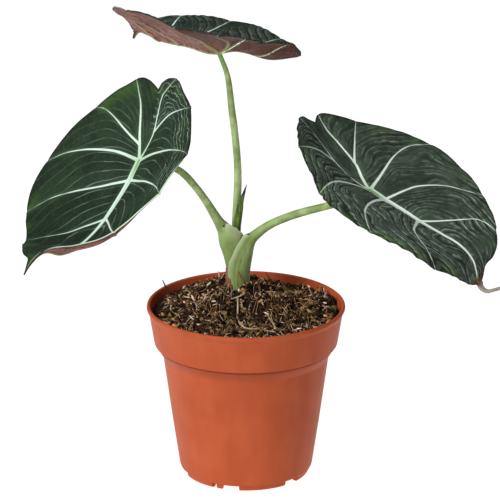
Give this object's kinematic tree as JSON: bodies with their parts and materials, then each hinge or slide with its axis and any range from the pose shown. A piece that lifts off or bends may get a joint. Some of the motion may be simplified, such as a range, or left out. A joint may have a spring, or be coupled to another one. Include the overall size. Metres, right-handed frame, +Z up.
{
  "type": "potted dwarf alocasia plant",
  "caption": "House plant with velvety dark heart-shaped leaves and pale raised veins on sheathing stalks, in bark soil in a round terracotta-coloured plastic pot",
  "frame": {"origin": "centre of the pot's flat foot pad, on the plane that the pot stands on", "axes": "+Z up out of the pot; +X to the right and +Y away, seen from the side that the two low leaves face"},
  "size_m": [0.2508, 0.1783, 0.2639],
  "materials": {
    "pot_plastic": "moulded terracotta-coloured polypropylene with a soft sheen",
    "bark_soil": "loose dark bark and fibre with tan and pale chips, matt",
    "root": "tan to cream root skin, matt",
    "petiole": "smooth pale green stalk, slightly glossy",
    "rolled_leaf": "rolled new leaf, mid green with a blackish tip",
    "leaf_blade": "velvety blackish-green upper face with mint-white veins, dull red under face with green ribs"
  },
  "bodies": {
    "root": {"pot": "pot_plastic", "soil": "bark_soil", "rhizome_and_roots": "root", "petiole_left": "petiole", "petiole_right": "petiole", "petiole_top": "petiole", "new_leaf_spike": "rolled_leaf", "leaf_left": "leaf_blade", "leaf_right": "leaf_blade", "leaf_top": "leaf_blade"}
  },
  "joints": []
}
